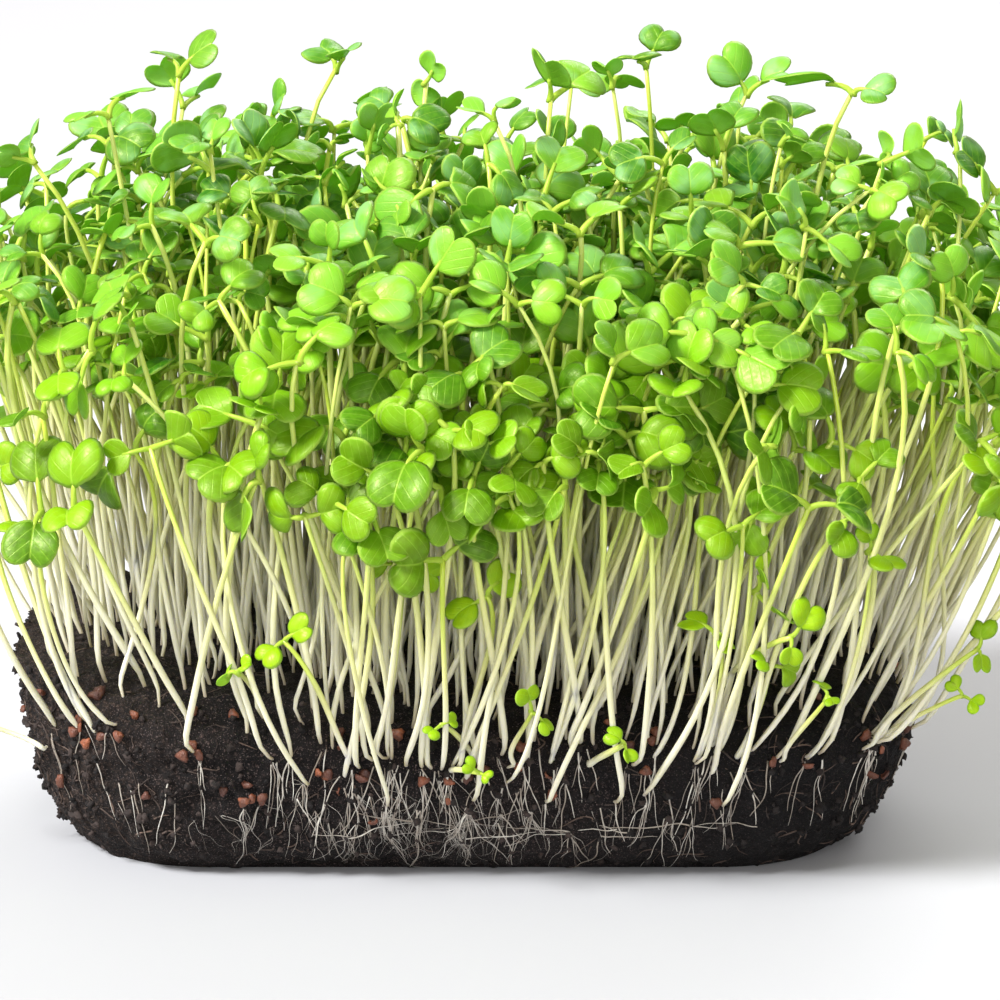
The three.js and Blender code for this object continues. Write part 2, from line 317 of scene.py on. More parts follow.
class Nodes:
    """A material with a Principled shader, and short calls for the nodes that feed it."""

    def __init__(self, name):
        self.material = bpy.data.materials.new(name)
        self.material.use_nodes = True
        self.tree = self.material.node_tree
        self.shader = self.tree.nodes["Principled BSDF"]

    def new(self, kind, **settings):
        node = self.tree.nodes.new("ShaderNode" + kind)
        for key, value in settings.items():
            setattr(node, key, value)
        return node

    def link(self, source, target):
        if isinstance(source, (int, float)):
            target.default_value = source
        elif isinstance(source, tuple):
            target.default_value = (*source, 1.0)
        else:
            self.tree.links.new(source, target)

    def number(self, name):
        return self.new("Attribute", attribute_name=name).outputs["Fac"]

    def place(self):
        return self.new("TexCoord").outputs["Object"]

    def axis(self, letter):
        split = self.new("SeparateXYZ")
        self.link(self.place(), split.inputs[0])
        return split.outputs[letter]

    def noise(self, scale, detail=2.0, rough=0.5, warp=0.0):
        node = self.new("TexNoise")
        self.link(self.place(), node.inputs["Vector"])
        node.inputs["Scale"].default_value = scale
        node.inputs["Detail"].default_value = detail
        node.inputs["Roughness"].default_value = rough
        node.inputs["Distortion"].default_value = warp
        return node.outputs["Fac"]

    def cells(self, scale, feature="F1"):
        node = self.new("TexVoronoi", feature=feature)
        self.link(self.place(), node.inputs["Vector"])
        node.inputs["Scale"].default_value = scale
        return node.outputs["Distance"]

    def span(self, value, low, high, to_low=0.0, to_high=1.0):
        node = self.new("MapRange", clamp=True, interpolation_type="SMOOTHSTEP")
        self.link(value, node.inputs["Value"])
        for socket, number in zip(("From Min", "From Max", "To Min", "To Max"), (low, high, to_low, to_high)):
            node.inputs[socket].default_value = number
        return node.outputs["Result"]

    def sum(self, operation, first, second=0.0):
        node = self.new("Math", operation=operation)
        self.link(first, node.inputs[0])
        self.link(second, node.inputs[1])
        return node.outputs[0]

    def mix(self, share, first, second, blend="MIX"):
        node = self.new("Mix", data_type="RGBA", blend_type=blend)
        self.link(share, node.inputs[0])
        self.link(first, node.inputs[6])
        self.link(second, node.inputs[7])
        return node.outputs[2]

    def bump(self, height, distance, strength=1.0, below=None):
        node = self.new("Bump")
        node.inputs["Strength"].default_value = strength
        node.inputs["Distance"].default_value = distance
        self.link(height, node.inputs["Height"])
        if below is not None:
            self.link(below, node.inputs["Normal"])
        return node.outputs["Normal"]

    def finish(self, colour, roughness, normal=None, **constants):
        self.link(colour, self.shader.inputs["Base Color"])
        self.link(roughness, self.shader.inputs["Roughness"])
        if normal is not None:
            self.link(normal, self.shader.inputs["Normal"])
        for socket, value in constants.items():
            self.shader.inputs[socket.replace("_", " ")].default_value = value
        return self.material

    def let_light_through(self, colour, normal, share):
        """Mixes in a shader that passes light on to the far side of a thin blade."""
        thin, blend = self.new("BsdfTranslucent"), self.new("MixShader")
        self.link(colour, thin.inputs["Color"])
        self.link(normal, thin.inputs["Normal"])
        blend.inputs[0].default_value = share
        self.tree.links.new(self.shader.outputs[0], blend.inputs[1])
        self.tree.links.new(thin.outputs[0], blend.inputs[2])
        self.tree.links.new(blend.outputs[0], self.tree.nodes["Material Output"].inputs["Surface"])
        return self.material


def leaf_material():
    n = Nodes("seed_leaf_green")
    lime, tone = n.number("lime"), n.number("tone")
    green = n.mix(tone, *LOW_LEAF)
    # The upper leaves are a cooler green than the lower ones, partly their own tone and partly a painted
    # bluish sheen.
    cool = n.mix(tone, *HIGH_LEAF)
    green = n.mix(n.span(n.axis("Z"), 0.078, 0.108, 0.0, 0.8), green, cool)
    deep = n.mix(tone, *SHADED_LEAF)
    green = n.mix(n.span(n.axis("Z"), 0.092, 0.07, 0.0, 0.9), green, deep)
    green = n.mix(lime, green, LIME_LEAF)
    mottle = n.noise(900.0, 3.0, 0.6)
    green = n.mix(n.span(mottle, 0.35, 0.7, 0.0, 0.3), green, LEAF_MOTTLE)
    # Some of the upper leaves get a pale sheen, painted in patches.
    high = n.span(n.axis("Z"), 0.08, 0.11, 0.0, 0.55)
    painted_sheen = n.sum("MULTIPLY", n.span(n.noise(170.0, 2.0), 0.5, 0.66), high)
    green = n.mix(painted_sheen, green, LEAF_PAINTED_SHEEN)
    # Side veins run out and forward from the middle vein.
    slant = n.sum("SUBTRACT", n.number("along"), n.sum("MULTIPLY", n.number("rib"), 0.8))
    stripe = n.sum("ABSOLUTE", n.sum("SUBTRACT", n.sum("FRACT", n.sum("MULTIPLY", slant, 3.1)), 0.5))
    veins = n.span(stripe, 0.0, 0.09, 0.28, 0.0)
    middle = n.span(n.number("rib"), 0.0, 0.06, 0.55, 0.0)
    vein = n.sum("MAXIMUM", veins, middle)
    green = n.mix(vein, green, LEAF_VEIN)
    rim = n.span(n.number("rim"), 0.89, 0.98, 0.0, 0.75)
    green = n.mix(rim, green, LEAF_RIM)
    green = n.mix(n.sum("MULTIPLY", n.number("under"), 0.5), green, LEAF_UNDERSIDE)
    stalk = n.mix(n.noise(500.0), *LEAF_STALK)
    green = n.mix(n.number("stalk"), green, stalk)
    rough = n.span(n.noise(1400.0, 2.0), 0.3, 0.7, 0.34, 0.5)
    skin = n.bump(n.noise(3600.0, 2.0), 0.00006, 0.5)
    relief = n.bump(n.sum("SUBTRACT", 1.0, vein), 0.00015, 0.6, skin)
    n.finish(green, rough, relief, Specular_IOR_Level=0.6, Specular_Tint=(0.95, 1.0, 0.5, 1.0))
    return n.let_light_through(n.mix(0.45, green, LIGHT_THROUGH_LEAF), relief, LEAF_TRANSLUCENCY)


def stem_material():
    n = Nodes("sprout_stem")
    along = n.number("along")
    pale = n.mix(n.noise(220.0, 2.0), *STEM_WHITE)
    colour = n.mix(n.span(along, 0.15, 0.6), pale, STEM_MIDDLE)
    colour = n.mix(n.span(along, 0.45, 0.88), colour, STEM_TOP)
    colour = n.mix(n.sum("MULTIPLY", n.number("tone"), 0.25), colour, STEM_PALE)
    colour = n.mix(n.span(along, 0.0, 0.09, 0.75, 0.0), colour, STEM_FOOT)
    rough = n.span(n.noise(900.0, 2.0), 0.3, 0.7, 0.3, 0.45)
    skin = n.bump(n.noise(1500.0, 2.0), 0.00008, 0.4)
    return n.finish(
        colour, rough, skin,
        Subsurface_Weight=0.55, Subsurface_Radius=(1.0, 0.95, 0.5), Subsurface_Scale=0.0014,
    )


def peat_material():
    n = Nodes("peat")
    patches = n.noise(60.0, 4.0, 0.6)
    crumbs = n.cells(620.0)
    fine = n.noise(1500.0, 4.0, 0.7)
    colour = n.mix(n.span(patches, 0.35, 0.65), *PEAT_DAMP)
    colour = n.mix(n.span(crumbs, 0.0, 0.5, 0.55, 0.0), colour, PEAT_CELLS)
    colour = n.mix(n.span(fine, 0.56, 0.72, 0.0, 0.75), colour, PEAT_FLECKS)
    grit = n.noise(4200.0, 3.0, 0.6)
    colour = n.mix(n.span(grit, 0.6, 0.68, 0.0, 0.8), colour, PEAT_GRIT)
    # The right end of the plug is darkened with painted shade.
    right = n.span(n.axis("X"), 0.005, 0.05, 0.0, 0.72)
    colour = n.mix(right, colour, PEAT_PAINTED_SHADE)
    # The left end is flecked with a lighter brown.
    left = n.span(n.axis("X"), -0.03, -0.075, 0.0, 0.6)
    colour = n.mix(n.sum("MULTIPLY", left, n.span(fine, 0.4, 0.7)), colour, PEAT_LEFT_BROWN)
    low = n.bump(n.noise(420.0, 5.0, 0.65), 0.0012, 0.9)
    high = n.bump(fine, 0.0007, 1.0, low)
    return n.finish(colour, n.span(fine, 0.3, 0.7, 0.72, 0.95), high, Specular_IOR_Level=0.2)


def crumb_material():
    n = Nodes("peat_crumb")
    fine = n.noise(1900.0, 4.0, 0.7)
    colour = n.mix(n.number("tone"), *CRUMB_TONES)
    colour = n.mix(n.span(fine, 0.5, 0.75, 0.0, 0.7), colour, CRUMB_FLECKS)
    # Crumbs at the right end are darkened with painted shade.
    colour = n.mix(n.span(n.axis("X"), 0.005, 0.05, 0.0, 0.6), colour, CRUMB_PAINTED_SHADE)
    low = n.bump(n.noise(900.0, 4.0, 0.65), 0.0006, 0.9)
    return n.finish(
        colour, n.span(fine, 0.3, 0.7, 0.65, 0.95), n.bump(fine, 0.0003, 0.8, low), Specular_IOR_Level=0.3
    )


def fibre_material():
    n = Nodes("peat_fibre")
    colour = n.mix(n.number("tone"), *FIBRE_TONES)
    colour = n.mix(n.span(n.noise(800.0), 0.4, 0.7, 0.0, 0.6), colour, FIBRE_DARK)
    return n.finish(colour, n.span(n.noise(1500.0), 0.3, 0.7, 0.7, 0.95), n.bump(n.noise(2500.0), 0.0002))


def root_material():
    n = Nodes("fine_root")
    colour = n.mix(n.number("tone"), *ROOT_TONES)
    colour = n.mix(n.span(n.noise(700.0), 0.4, 0.75, 0.0, 0.7), colour, ROOT_SOILED)
    return n.finish(
        colour, n.span(n.noise(900.0), 0.3, 0.7, 0.4, 0.7), n.bump(n.noise(2500.0), 0.0001),
        Subsurface_Weight=0.2, Subsurface_Radius=(1.0, 0.9, 0.7), Subsurface_Scale=0.0006,
    )


def seed_material():
    n = Nodes("seed_coat")
    colour = n.mix(n.number("tone"), *COAT_TONES)
    colour = n.mix(n.span(n.noise(900.0, 3.0), 0.35, 0.7), colour, COAT_DARK)
    net = n.cells(2600.0, "DISTANCE_TO_EDGE")
    return n.finish(colour, n.span(net, 0.0, 0.3, 0.42, 0.65), n.bump(net, 0.0003, 0.6))


def floor_material():
    n = Nodes("white_sweep")
    colour = n.mix(n.noise(3.0), *FLOOR_TONES)
    return n.finish(colour, 0.6, n.bump(n.noise(500.0), 0.0001, 0.1))


LEAF, STEM, PEAT = leaf_material(), stem_material(), peat_material()
FIBRE, ROOT, SEED, CRUMB = fibre_material(), root_material(), seed_material(), crumb_material()


# ---------------- the plug of peat

def plug_points(u, v, w):
    """Where points of the cube -1..1 lie on the plug's plain form, in millimetres. w is -1 at the foot."""
    rise = (w + 1) / 2
    inset = FOOT_INSET * (1 - rise) + FOOT_ROUNDING * (1 - rise) ** 5
    half = [(PLUG_SIZE[k] - ROUGHNESS_ROOM) / 2 - inset for k in (0, 1)]
    radius = CORNER_RADIUS - inset
    x, y = u * half[0], v * half[1]
    over_x = np.maximum(np.abs(x) - half[0] + radius, 0)
    over_y = np.maximum(np.abs(y) - half[1] + radius, 0)
    reach = np.hypot(over_x, over_y)
    pull = np.where(reach > 0, 1 - np.maximum(over_x, over_y) / np.maximum(reach, 1e-9), 0)
    to_rim = np.minimum(half[0] - np.abs(x), half[1] - np.abs(y))
    near = np.clip(1 - to_rim / SHOULDER_WIDTH, 0, 1)
    end_share = np.maximum(-u, 0) ** 3
    drop = SHOULDER_DROP * (1 - END_FULLNESS * end_share)
    crown = np.where(w > 0.999, drop * np.sqrt(1 - near * near), 0)
    return np.stack(
        [
            x - np.sign(x) * over_x * pull,
            y - np.sign(y) * over_y * pull,
            rise * (PLUG_TOP + END_RISE * end_share - drop) + crown,
        ],
        -1,
    )


def cube_grid(steps):
    """The points and quads of a cube -1..1 with that many steps along each side, welded at its edges."""
    index, points, quads = {}, [], []

    def at(key):
        if key not in index:
            index[key] = len(points)
            points.append([2 * key[k] / steps[k] - 1 for k in range(3)])
        return index[key]

    for axis in range(3):
        a, b = (axis + 1) % 3, (axis + 2) % 3
        for end in (0, steps[axis]):
            for i in range(steps[a]):
                for j in range(steps[b]):
                    ring = []
                    for da, db in ((0, 0), (1, 0), (1, 1), (0, 1)):
                        key = [0, 0, 0]
                        key[axis], key[a], key[b] = end, i + da, j + db
                        ring.append(at(tuple(key)))
                    quads.append(ring if end else ring[::-1])
    return np.array(points), np.array(quads)


def crumble(point):
    """How far a point of the plug stands out, in millimetres: lumps, crumbs and grain of their own widths."""
    x, y, z = point
    lumps = noise.fractal(Vector((x, y, z)) / 11.0, 0.9, 2.1, 3)
    crumbs = noise.turbulence(Vector((x + 40, y, z)) / 3.4, 3, False)
    grain = noise.fractal(Vector((x, y + 70, z)) / 1.5, 0.8, 2.0, 2)
    return 0.7 * lumps + 0.75 * (crumbs - 0.55) + 0.3 * grain


def make_plug():
    """The plug's piece, and the points and quads of its rough surface in millimetres."""
    cube, quads = cube_grid(PLUG_STEPS)
    points = plug_points(*cube.T)
    a, b, c, d = (points[quads[:, k]] for k in range(4))
    face_normals = np.cross(c - a, d - b)
    normals = np.zeros_like(points)
    for k in range(4):
        np.add.at(normals, quads[:, k], face_normals)
    normals /= np.linalg.norm(normals, axis=1, keepdims=True)
    out = np.array([crumble(point) for point in points])
    # The flat base stays flat.
    keep = np.where(normals[:, 2] < DOWNWARD, 0.0, 1.0)
    points = points + normals * (out * keep)[:, None]
    points[:, 2] = np.maximum(points[:, 2], 0)
    plug = build("peat_plug", [Shape(points, quads, np.zeros((len(quads), 4, 2)))], PEAT)
    plug.data.uv_layers.remove(plug.data.uv_layers[0])
    return plug, points, quads


plug, plug_surface, plug_quads = make_plug()
plug_tree = BVHTree.FromPolygons(plug_surface.tolist(), plug_quads.tolist())


def soil_under(x, y):
    """The height of the soil at a place in plan, in millimetres, or None beside the plug."""
    hit = plug_tree.ray_cast(Vector((x, y, RAY_START)), Vector(DOWN))[0]
    return None if hit is None else hit.z


def on_soil(point):
    """The nearest point of the plug's surface and the direction out of it."""
    place, normal, _, _ = plug_tree.find_nearest(Vector(point))
    return np.array(place), np.array(normal)


# ---------------- where the sprouts grow

def plan_share(x, y):
    """0 in the middle of the plug and 1 at its edge in plan."""
    half_x, half_y = PLUG_SIZE[0] / 2, PLUG_SIZE[1] / 2
    over_x = max(abs(x) - half_x + CORNER_RADIUS, 0)
    over_y = max(abs(y) - half_y + CORNER_RADIUS, 0)
    to_edge = CORNER_RADIUS - math.hypot(over_x, over_y)
    if over_x == 0 or over_y == 0:
        to_edge = min(half_x - abs(x), half_y - abs(y))
    return 1 - to_edge / half_y


def cad_sprouts():
    """The root and the growing tip of each sprout in the CAD model, in millimetres."""
    found = []
    for name in sorted(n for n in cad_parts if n.startswith("stem_")):
        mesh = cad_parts[name].data
        points = np.array([v.co for v in mesh.vertices]) / MM
        foot = points[points[:, 2] < points[:, 2].min() + 1.5].mean(0)
        low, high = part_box(name.replace("stem_", "leaf_pair_"))
        middle = (np.array(low) + np.array(high)) / 2 / MM
        found.append((foot, middle - [0, 0, 1.5]))
    return found


def root_places(first):
    """Roots spread over the top and shoulder of the plug, no two too close, the given ones first."""
    places = [tuple(p[:2]) for p in first]
    kept = np.array(places)
    half_x, half_y = PLUG_SIZE[0] / 2, PLUG_SIZE[1] / 2
    for _ in range(ROOT_TRIES):
        x, y = rng.uniform(-half_x, half_x), rng.uniform(-half_y, half_y)
        share = plan_share(x, y)
        # The front is thinly grown towards both ends.
        sparse = (x < -24 or x > 36) and y < -14 and share > 0.55
        if share > LAST_ROOT_SHARE or x < BARE_END + 8 * rng.random():
            continue
        gap = np.min(np.hypot(kept[:, 0] - x, kept[:, 1] - y))
        if gap < ROOT_SPACING * (SPARSE_SPACING if sparse else 1.0) * rng.uniform(0.8, 1.15):
            continue
        kept = np.concatenate([kept, [[x, y]]])
    return kept


def outward(x, y):
    """The level direction from the middle of the plug to a place in plan."""
    return unit(np.array([x / PLUG_SIZE[0], y / PLUG_SIZE[1], 0]) + [1e-6, 0, 0])


def tip_place(x, y):
    """The growing tip of the sprout rooted at (x, y), in a leafy layer that droops and widens at the rim."""
    share = max(plan_share(x, y), 0)
    rim = smooth(0.1, 0.85, share)
    drop = rng.random()
    top = lerp(CANOPY_TOP, CANOPY_RIM_TOP, smooth(0.5, 1.0, share))
    height = top - drop**0.8 * lerp(CANOPY_DEPTH, CANOPY_RIM_DEPTH, rim) + rng.normal(0, 3.0)
    reach = rim * (5 + 0.2 * (CANOPY_TOP - height)) + 2 * share
    # The whole stand leans a little to the right, more so at its right end.
    lean = 5.0 * smooth(-60, 70, x)
    wide = WILD_LEAN if rng.random() < WILD_CHANCE else 1.0
    level = outward(x, y) * reach + [lean + rng.normal(0, 7.0) * wide, rng.normal(0, 5.0), 0]
    place = np.array([x, y, height]) + level
    place[:2] = np.clip(place[:2], *TIP_LIMITS)
    return place


def spread_out(tips, held):
    """Pushes growing tips apart until leaf pairs have room. The first held ones stay where they are."""
    for _ in range(SPREAD_ROUNDS):
        gap = tips[:, None] - tips[None]
        gap[..., 2] *= 1.3
        distance = np.linalg.norm(gap, axis=-1) + np.eye(len(tips)) * 99
        push = np.clip(TIP_SPACING - distance, 0, None) / np.maximum(distance, 0.5) * 0.5
        move = (gap * push[..., None]).sum(1) * 0.5
        move[:held] = 0
        tips += np.clip(move, -2.0, 2.0)
    return tips


# ---------------- sprouts

def leaf_shape(width, stretch, look, cells, tone, lime):
    """A two-lobed seed leaf in its own frame: foot at the origin, blade along +Y, upper side +Z.

    rho and angle are each point's place on the blade, from 0 in the middle to 1 at the rim. across and along
    are its place in half widths. The form is stretched along the blade and scaled last.
    """
    ring = np.arange(1, LEAF_RINGS + 1) / LEAF_RINGS
    ring = 1 - (1 - ring) ** 1.25
    theta = np.arange(LEAF_SPOKES) / LEAF_SPOKES * 2 * math.pi
    # Each lobe is a circle and the two overlap. The blade runs down to its stalk between them.
    apart = look["apart"]
    reach = apart * np.abs(np.cos(theta)) + np.sqrt((1 - apart) ** 2 - (apart * np.sin(theta)) ** 2)
    below = np.angle(np.exp(1j * (theta + math.pi / 2)))
    reach += (LEAF_FOOT - reach.min()) * np.exp(-((below / 0.5) ** 2))
    reach *= 1 + look["skew"] * np.cos(theta)
    rho, angle = (g.ravel() for g in np.meshgrid(ring, theta, indexing="ij"))
    outline = np.tile(reach, LEAF_RINGS)
    across = np.append(rho * outline * np.cos(angle), 0.0)
    along = np.append(rho * outline * np.sin(angle), 0.0)
    rho = np.append(rho, 0.0)
    half = width / 2
    wing = np.abs(across)
    lobe_middle = 0.48
    height = look["fold"] * np.sqrt(wing**2 + 0.004)
    height -= look["dome"] * ((wing - lobe_middle) ** 2 * 1.6 + along**2 * 1.1)
    height -= look["curl"] * rho**5
    height += look["wave"] * rho**2 * np.append(np.sin(3 * angle + look["phase"]), 0)
    height -= look["droop"] * (along + LEAF_FOOT) ** 2
    foot = (LEAF_RINGS - 1) * LEAF_SPOKES + LEAF_SPOKES * 3 // 4
    middle = np.stack([across, (along - along[foot]) * stretch, height - height[foot]], -1) * half
    thick = LEAF_THICKNESS / 2 * np.sqrt(np.clip(1 - rho**4, 0, 1))
    upper = middle + thick[:, None] * [0, 0, 1]
    lower = middle - thick[:, None] * [0, 0, 1]
    count, rim_start = len(upper), (LEAF_RINGS - 1) * LEAF_SPOKES
    # The lower side shares the rim of the upper one.
    lower_index = np.concatenate(
        [np.arange(rim_start) + count, np.arange(rim_start, count - 1), [count + rim_start]]
    )
    points = np.concatenate([upper, lower[:rim_start], lower[-1:]])
    i, j = np.meshgrid(np.arange(LEAF_RINGS - 1), np.arange(LEAF_SPOKES), indexing="ij")
    a, b = (i * LEAF_SPOKES + j).ravel(), (i * LEAF_SPOKES + (j + 1) % LEAF_SPOKES).ravel()
    quads = np.stack([a, a + LEAF_SPOKES, b + LEAF_SPOKES, b], -1)
    j = np.arange(LEAF_SPOKES)
    fan = np.stack([np.full(LEAF_SPOKES, count - 1), j, (j + 1) % LEAF_SPOKES], -1)
    flat = np.stack([rho * np.append(np.cos(angle), 0), rho * np.append(np.sin(angle), 0)], -1) * 0.47 + 0.5

    def in_cell(faces, cell):
        return flat[faces] * cell[2:] + cell[:2]

    top_cell, bottom_cell = (np.array(c) for c in cells)
    all_quads = np.concatenate([quads, lower_index[quads[:, ::-1]]])
    all_fans = np.concatenate([fan, lower_index[fan[:, ::-1]]])
    under = np.concatenate([np.zeros(count), np.ones(rim_start + 1)])
    under[rim_start : count - 1] = 0.5
    both_rho, both_wing, both_along = (
        np.concatenate([upper_values, upper_values[:rim_start], upper_values[-1:]])
        for upper_values in (rho, wing, along)
    )
    return Shape(
        points,
        all_quads,
        np.concatenate([in_cell(quads, top_cell), in_cell(quads[:, ::-1], bottom_cell)]),
        all_fans,
        np.concatenate([in_cell(fan, top_cell), in_cell(fan[:, ::-1], bottom_cell)]),
        rim=both_rho, rib=both_wing, along=both_along, under=under, stalk=0.0, tone=tone, lime=lime,
    )


def leaf_look():
    """How one seed leaf is notched, folded, domed and curled."""
    return {
        "apart": rng.uniform(0.4, 0.48),
        "fold": rng.normal(0.06, 0.2),
        "dome": rng.uniform(0.04, 0.4),
        "curl": rng.uniform(-0.04, 0.12),
        "wave": rng.normal(0, 0.07),
        "droop": rng.uniform(-0.08, 0.2),
        "skew": rng.normal(0, 0.06),
        "phase": rng.uniform(0, FULL_TURN),
    }


def turned(shape, columns, origin):
    """The shape with its axes laid along three directions, and moved to an origin."""
    shape.points = shape.points @ np.array(columns) + origin
    return shape


def leaf_pair(tip, axis, spin, size, openness, lime, tone, cells):
    """Two seed leaves of unequal size on their stalks, round a growing tip whose stem points along axis."""
    right = unit(np.cross(axis, [0.2, 0.1, 1.0] if abs(axis[2]) < 0.95 else [1.0, 0, 0]))
    other = np.cross(axis, right)
    shapes = []
    for side in (0, 1):
        turn = spin + math.pi * side + rng.normal(0, 0.22)
        out = right * math.cos(turn) + other * math.sin(turn)
        scale = size * (1.0 if side == 0 else rng.uniform(*SECOND_LEAF_SIZES))
        reach = rng.uniform(*STALK_LENGTHS) * scale
        lift = openness + rng.normal(0, 0.2)
        heading = unit(out * math.cos(lift) + axis * math.sin(lift))
        end = tip + heading * reach
        sag = rng.normal(-0.4, 0.3)
        blade = unit(out * math.cos(lift + sag) + axis * math.sin(lift + sag))
        roll = rng.normal(0, 0.3)
        across = unit(np.cross(blade, axis))
        upper = np.cross(across, blade)
        across, upper = (
            across * math.cos(roll) + upper * math.sin(roll),
            upper * math.cos(roll) - across * math.sin(roll),
        )
        leaf_tone = float(np.clip(tone + rng.normal(0, 0.16), 0, 1))
        leaf_lime = float(np.clip(lime + rng.normal(0, 0.1), 0, 1))
        leaf = leaf_shape(
            scale * rng.uniform(*LEAF_WIDTHS), rng.uniform(*LEAF_STRETCHES), leaf_look(),
            cells[3 * side : 3 * side + 2], leaf_tone, leaf_lime,
        )
        # The stalk starts inside the stem's end and runs a little way into the blade.
        start = tip - axis * 0.9
        path = bezier(
            [start, start + axis * 1.2 + out * 0.3, end - blade * 1.2, end + blade * 1.3],
            np.linspace(0, 1, STALK_RINGS),
        )
        radii = np.linspace(*STALK_RADII, STALK_RINGS) * scale**0.5
        stalk = tube(
            path, radii, STALK_SIDES, cells[3 * side + 2],
            rim=0.0, rib=1.0, along=0.0, under=0.0, stalk=np.linspace(1, 0.7, STALK_RINGS),
            tone=leaf_tone, lime=leaf_lime,
        )
        shapes += [turned(leaf, [across, blade, upper], end), stalk]
    return shapes


def leaf_cells(count):
    """UV cells for each sprout of a clump: top, bottom and stalk of the first leaf, then of the second."""
    grid = math.ceil(math.sqrt(count * 5))
    step = 1 / grid
    cells = []
    for sprout in range(count):
        own = []
        for k in range(5):
            row, column = divmod(sprout * 5 + k, grid)
            own.append((column * step, row * step, step * 0.96, step * 0.96))
        x, y, width, height = own[4]
        strips = [(x + width * s, y, width * 0.42, height) for s in (0.04, 0.54)]
        cells.append([own[0], own[1], strips[0], own[2], own[3], strips[1]])
    return cells


def stem_shape(root, inward, tip, aim, cell, tone):
    """A stem from under the soil to the growing tip, and the direction it ends in."""
    height = max(tip[2] - root[2], 8)
    sway = rng.normal(0, 0.09, 3) * height * [1, 1, 0.2]
    first = root + unit(aim) * height * rng.uniform(0.22, 0.42)
    lean = unit(tip - first + rng.normal(0, 0.07, 3) * height)
    second = tip - lean * height * rng.uniform(0.2, 0.38) + sway
    # The rings lie closer together near the foot.
    share = np.linspace(0, 1, STEM_RINGS) ** 1.3
    path = bezier([root, first, second, tip], share)
    # Just above its foot a stem bends sideways and back.
    bend = share / STEM_BEND_AT * np.exp(1 - share / STEM_BEND_AT)
    path[:, :2] += rng.normal(0, STEM_FOOT_BEND, 2) * bend[:, None]
    for ring, depth in enumerate(STEM_DEPTHS):
        path[ring] += inward * depth
    radius = STEM_RADIUS * rng.uniform(0.8, 1.2)
    radii = radius * (1.1 - 0.25 * share) * lerp(0.5, 1.0, smooth(0.0, 0.13, share))
    radii *= 1 + 0.06 * np.sin(share * 9 + rng.uniform(0, 6))
    shape = tube(path, radii, STEM_SIDES, cell, along=share, tone=tone)
    return shape, unit(path[-1] - path[-2])


def side_roots(count):
    """Roots on the sloping sides of the plug, most of them at the front."""
    places = []
    while len(places) < count:
        x, y = rng.uniform(-0.5, 0.5, 2) * PLUG_SIZE[:2]
        busy = BUSY_FRONT[0] < x < BUSY_FRONT[1]
        left_out = 0.45 if y > 0 else 0.0 if busy else 0.85
        if plan_share(x, y) < 0.8 or x < BARE_END or rng.random() < left_out:
            continue
        height = rng.uniform(9.0 if busy else 16.0, 24.0)
        place, normal = on_soil(np.array([x * 1.2, y * 1.2, height]))
        places.append((place, unit(unit(place * [1, 1, 0]) * 0.7 + normal)))
    return places


def ground_at(place):
    """The soil's surface at a place in plan, or the shoulder's height where there is no soil."""
    ground = soil_under(*place)
    return np.array([*place, PLUG_TOP - SHOULDER_DROP if ground is None else ground])


# The growing tips of the tallest sprouts
TALL = [
    (-56, -12, 117), (-46, 8, 121), (-21, 20, 120), (-6, 10, 119), (5, -20, 117),
    (24, 0, 120), (30, 18, 121), (46, 5, 118), (62, -8, 120), (80, 0, 109),
]
# Small sprouts that hang over the front: their growing tips, and the X of their roots
STRAYS = [
    (-27, -54, 42, -20), (-3, -55, 29, 3), (3, -54, 21, -3), (11, -55, 31, 5), (25, -55, 26, 19),
    (39, -54, 43, 33), (47, -54, 38, 41), (56, -54, 33, 49), (62, -54, 56, 55), (80, -44, 38, 66),
    (78, -42, 30, 67), (-72, -42, 56, -62), (-82, -30, 24, -66), (4, -54, 49, 0), (-9, -54, 54, -14),
    (45, -55, 50, 40), (-72, -40, 66, -58),
]

known = cad_sprouts()
roots = root_places([foot for foot, _ in known])
tips = [tip for _, tip in known] + [tip_place(x, y) for x, y in roots[len(known):]]
feet = [ground_at(place) for place in roots]
beside = side_roots(SIDE_SPROUTS)
inward = [DOWN] * len(feet) + [-normal for _, normal in beside]
feet += [foot for foot, _ in beside]
tips += [tip_place(*foot[:2]) for foot, _ in beside]
for x, y, z in TALL:
    feet.append(ground_at((x * TALL_ROOT_SHARE, y * TALL_ROOT_SHARE)))
    inward.append(DOWN)
    tips.append(np.array([x, y, z], float))
for x, y, z, foot in STRAYS:
    place, normal = on_soil((foot, y, min(z - 6, 22)))
    feet.append(place)
    inward.append(-normal)
    tips.append(np.array([x, y, z], float))
feet, tips = np.array(feet), np.array(tips)
loose = len(feet) - len(TALL) - len(STRAYS)
tips[:loose] = spread_out(tips[:loose], len(known))

# Each sprout belongs to the clump round the nearest CAD sprout.
known_feet = feet[: len(known), :2]
owner = np.array([int(np.argmin(np.hypot(*(known_feet - foot[:2]).T))) for foot in feet])


